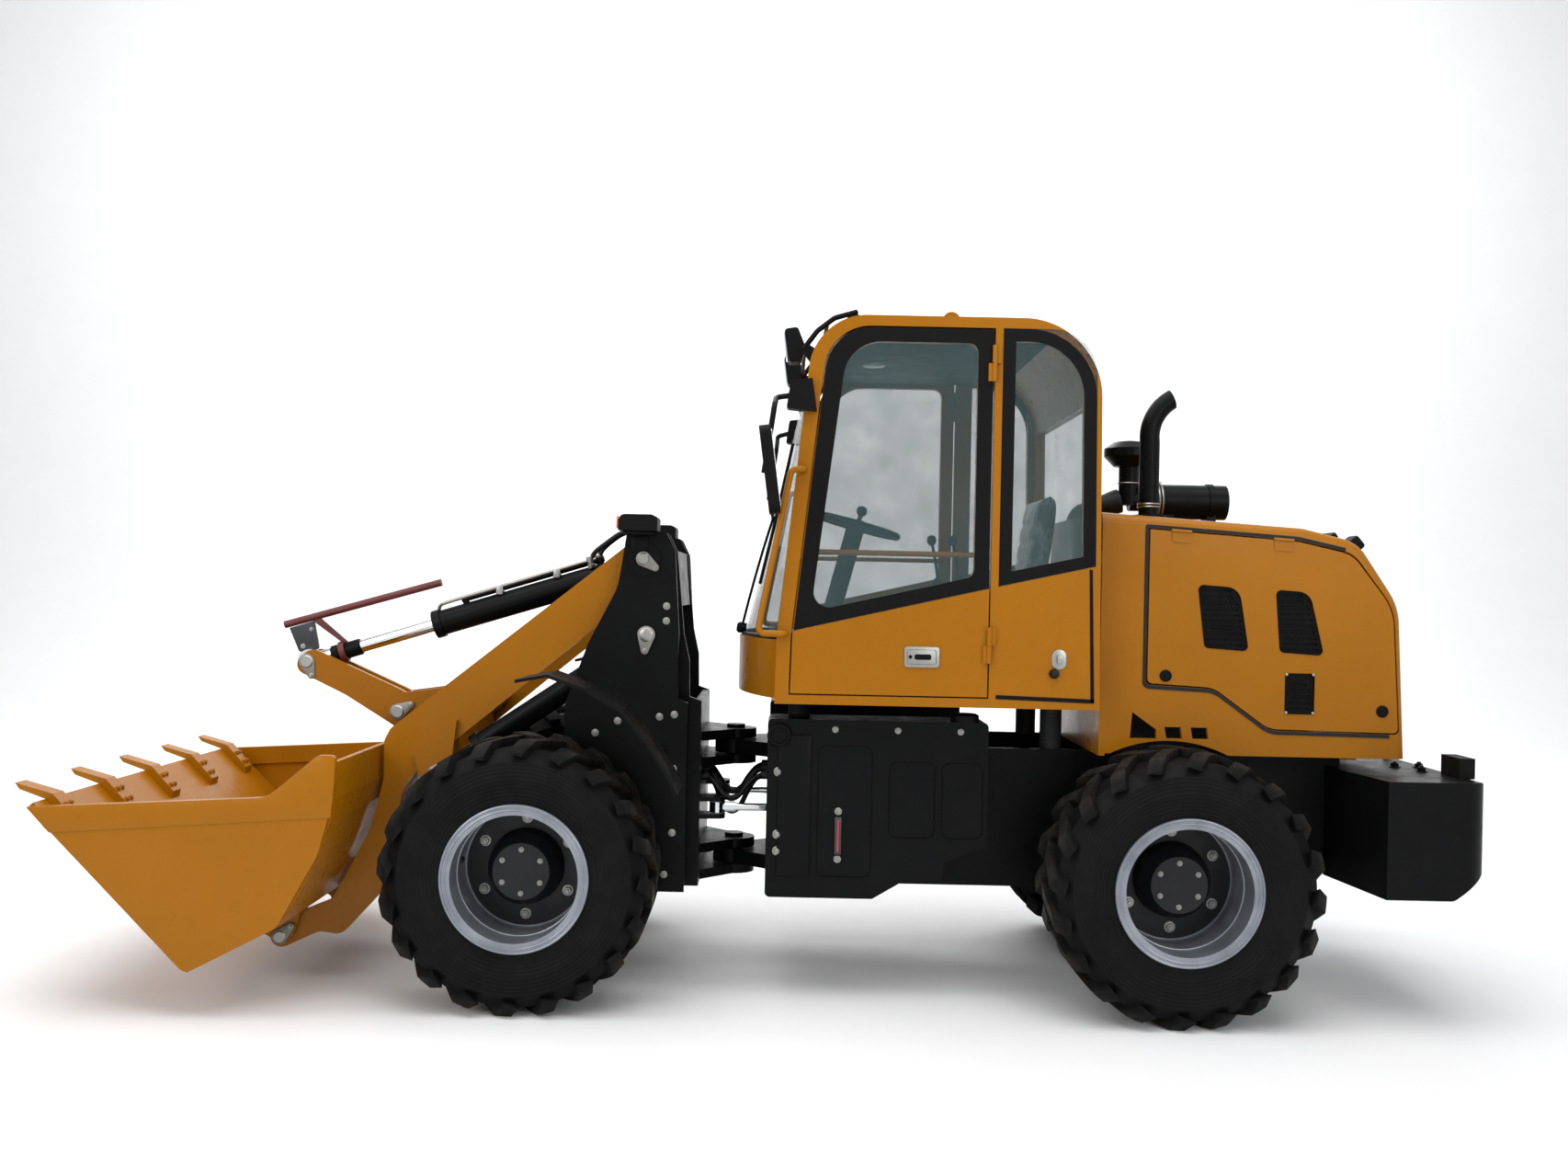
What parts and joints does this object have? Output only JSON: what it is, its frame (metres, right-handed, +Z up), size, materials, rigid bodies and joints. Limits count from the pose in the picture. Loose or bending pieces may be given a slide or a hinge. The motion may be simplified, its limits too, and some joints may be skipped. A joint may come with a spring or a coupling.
{
  "type": "wheel loader",
  "caption": "Compact articulated wheel loader with enclosed cab, Z-bar boom, toothed bucket, opening doors, rolling wheels and working cylinders.",
  "frame": {"origin": "on the ground, in the middle of the whole length and width", "axes": "+X forward to the bucket, +Y to the machine's left, +Z up"},
  "size_m": [5.608, 2, 2.7926],
  "materials": {
    "yellow_paint": "glossy enamel",
    "black_paint": "satin",
    "tyre": "matte",
    "silver_paint": "satin",
    "rod_chrome": "polished",
    "primer": "matte",
    "glass": "clear",
    "black_plastic": "textured",
    "seat_fabric": "matte",
    "iron": "rough"
  },
  "bodies": {
    "rear_frame": {"rear_frame": "black_paint", "counterweight": "black_paint", "engine": "iron", "rear_axle": "black_paint", "side_tanks": "black_paint", "cab_floor": "black_paint", "cab_sides": "yellow_paint", "cab_roof": "yellow_paint", "cab_front": "yellow_paint", "cab_rear": "yellow_paint", "cab_glass": "glass", "seat_base": "iron", "driver_seat": "seat_fabric", "dash_console": "black_plastic", "steering_wheel": "black_plastic", "hood": "yellow_paint", "exhaust_stack": "black_paint", "air_cleaner": "black_plastic", "mirrors": "black_plastic", "grab_rails": "yellow_paint", "roof_lamps": "black_plastic", "rear_lamps": "black_plastic"},
    "front_frame": {"front_frame": "black_paint", "front_axle": "black_paint", "headlamps": "black_plastic", "front_fenders": "black_paint"},
    "boom": {"boom": "yellow_paint"},
    "bucket": {"bucket": "yellow_paint", "bucket_teeth": "yellow_paint"},
    "bellcrank": {"bellcrank": "yellow_paint"},
    "bucket_link": {"bucket_link": "yellow_paint"},
    "tilt_barrel": {"tilt_barrel": "black_paint"},
    "tilt_rod": {"tilt_rod": "rod_chrome", "level_indicator": "primer"},
    "door_left": {"door_left": "yellow_paint", "door_glass_left": "glass"},
    "hood_door_left": {"hood_door_left": "yellow_paint", "hood_grille_left": "black_plastic"},
    "lift_barrel_left": {"lift_barrel_left": "black_paint"},
    "lift_rod_left": {"lift_rod_left": "rod_chrome"},
    "steer_barrel_left": {"steer_barrel_left": "black_paint"},
    "steer_rod_left": {"steer_rod_left": "rod_chrome"},
    "wheel_front_left": {"tyre_front_left": "tyre", "rim_front_left": "silver_paint"},
    "wheel_rear_left": {"tyre_rear_left": "tyre", "rim_rear_left": "silver_paint"},
    "door_right": {"door_right": "yellow_paint", "door_glass_right": "glass"},
    "hood_door_right": {"hood_door_right": "yellow_paint", "hood_grille_right": "black_plastic"},
    "lift_barrel_right": {"lift_barrel_right": "black_paint"},
    "lift_rod_right": {"lift_rod_right": "rod_chrome"},
    "steer_barrel_right": {"steer_barrel_right": "black_paint"},
    "steer_rod_right": {"steer_rod_right": "rod_chrome"},
    "wheel_front_right": {"tyre_front_right": "tyre", "rim_front_right": "silver_paint"},
    "wheel_rear_right": {"tyre_rear_right": "tyre", "rim_rear_right": "silver_paint"}
  },
  "joints": [
    {"name": "steer", "type": "hinge", "parent": "rear_frame", "child": "front_frame", "pos_m": [0.114, 0, 0.7], "axis": [0, 0, 1], "range_deg": [-35, 35]},
    {"name": "wheel_front_left_spin", "type": "hinge", "parent": "front_frame", "child": "wheel_front_left", "pos_m": [0.912, 0.715, 0.525], "axis": [0, 1, 0], "continuous": true},
    {"name": "wheel_front_right_spin", "type": "hinge", "parent": "front_frame", "child": "wheel_front_right", "pos_m": [0.912, -0.715, 0.525], "axis": [0, 1, 0], "continuous": true},
    {"name": "wheel_rear_left_spin", "type": "hinge", "parent": "rear_frame", "child": "wheel_rear_left", "pos_m": [-1.638, 0.715, 0.525], "axis": [0, 1, 0], "continuous": true},
    {"name": "wheel_rear_right_spin", "type": "hinge", "parent": "rear_frame", "child": "wheel_rear_right", "pos_m": [-1.638, -0.715, 0.525], "axis": [0, 1, 0], "continuous": true},
    {"name": "boom_lift", "type": "hinge", "parent": "front_frame", "child": "boom", "pos_m": [0.489, 0, 1.75], "axis": [0, -1, 0], "range_deg": [-4, 85]},
    {"name": "bucket_tip", "type": "hinge", "parent": "boom", "child": "bucket", "pos_m": [1.943, 0, 0.179], "axis": [0, 1, 0], "range_deg": [0, 160]},
    {"name": "bellcrank_swing", "type": "hinge", "parent": "boom", "child": "bellcrank", "pos_m": [1.574, 0, 1.075], "axis": [0, -1, 0], "range_deg": [-0.05, 47.19]},
    {"name": "link_swing", "type": "hinge", "parent": "bucket", "child": "bucket_link", "pos_m": [1.71783, 0, 0.309], "axis": [0, -1, 0], "range_deg": [-0.05, 125.64]},
    {"name": "tilt_barrel_swing", "type": "hinge", "parent": "boom", "child": "tilt_barrel", "pos_m": [0.489, 0, 1.75], "axis": [0, -1, 0], "range_deg": [-0.05, 6.53]},
    {"name": "tilt_rod_slide", "type": "slide", "parent": "tilt_barrel", "child": "tilt_rod", "axis": [-0.9541, 0, 0.2993], "range_m": [-0.001, 0.33248]},
    {"name": "lift_barrel_left_swing", "type": "hinge", "parent": "front_frame", "child": "lift_barrel_left", "pos_m": [0.471, 0.395, 1.443], "axis": [0, -1, 0], "range_deg": [-3.89, 81.72]},
    {"name": "lift_rod_left_slide", "type": "slide", "parent": "lift_barrel_left", "child": "lift_rod_left", "axis": [0.8271, 0, -0.562], "range_m": [-0.02027, 0.41039]},
    {"name": "steer_barrel_left_swing", "type": "hinge", "parent": "rear_frame", "child": "steer_barrel_left", "pos_m": [-0.531, 0.23, 0.72], "axis": [0, 0, 1], "range_deg": [-3.1, 3.1]},
    {"name": "steer_rod_left_slide", "type": "slide", "parent": "steer_barrel_left", "child": "steer_rod_left", "axis": [0.9984, 0.0562, 0], "range_m": [-0.15612, 0.15612]},
    {"name": "door_left_swing", "type": "hinge", "parent": "rear_frame", "child": "door_left", "pos_m": [-0.891, 0.692, 1.85], "axis": [0, 0, 1], "range_deg": [0, 165]},
    {"name": "hood_door_left_lift", "type": "hinge", "parent": "rear_frame", "child": "hood_door_left", "pos_m": [-1.54, 0.566, 1.913], "axis": [-0.998, 0, -0.0634], "range_deg": [-70, 0]},
    {"name": "lift_barrel_right_swing", "type": "hinge", "parent": "front_frame", "child": "lift_barrel_right", "pos_m": [0.471, -0.395, 1.443], "axis": [0, -1, 0], "range_deg": [-3.89, 81.72]},
    {"name": "lift_rod_right_slide", "type": "slide", "parent": "lift_barrel_right", "child": "lift_rod_right", "axis": [0.8271, 0, -0.562], "range_m": [-0.02027, 0.41039]},
    {"name": "steer_barrel_right_swing", "type": "hinge", "parent": "rear_frame", "child": "steer_barrel_right", "pos_m": [-0.531, -0.23, 0.72], "axis": [0, 0, 1], "range_deg": [-3.1, 3.1]},
    {"name": "steer_rod_right_slide", "type": "slide", "parent": "steer_barrel_right", "child": "steer_rod_right", "axis": [0.9984, -0.0562, 0], "range_m": [-0.15612, 0.15612]},
    {"name": "door_right_swing", "type": "hinge", "parent": "rear_frame", "child": "door_right", "pos_m": [-0.891, -0.692, 1.85], "axis": [0, 0, -1], "range_deg": [0, 165]},
    {"name": "hood_door_right_lift", "type": "hinge", "parent": "rear_frame", "child": "hood_door_right", "pos_m": [-1.54, -0.566, 1.913], "axis": [0.998, 0, 0.0634], "range_deg": [-70, 0]}
  ],
  "couplings": [
    {"joint": "bellcrank_swing", "follows": "bucket_tip", "ratio": 0.29459},
    {"joint": "link_swing", "follows": "bucket_tip", "ratio": 0.78492},
    {"joint": "tilt_barrel_swing", "follows": "bucket_tip", "ratio": 0.040511},
    {"joint": "tilt_rod_slide", "follows": "bucket_tip", "m_per_rad": 0.1187},
    {"joint": "lift_barrel_left_swing", "follows": "boom_lift", "ratio": 0.96085},
    {"joint": "lift_rod_left_slide", "follows": "boom_lift", "m_per_rad": 0.27596},
    {"joint": "steer_barrel_left_swing", "follows": "steer", "ratio": 0.08702},
    {"joint": "steer_rod_left_slide", "follows": "steer", "m_per_rad": -0.25393},
    {"joint": "lift_barrel_right_swing", "follows": "boom_lift", "ratio": 0.96085},
    {"joint": "lift_rod_right_slide", "follows": "boom_lift", "m_per_rad": 0.27596},
    {"joint": "steer_barrel_right_swing", "follows": "steer", "ratio": 0.08702},
    {"joint": "steer_rod_right_slide", "follows": "steer", "m_per_rad": 0.25393}
  ]
}
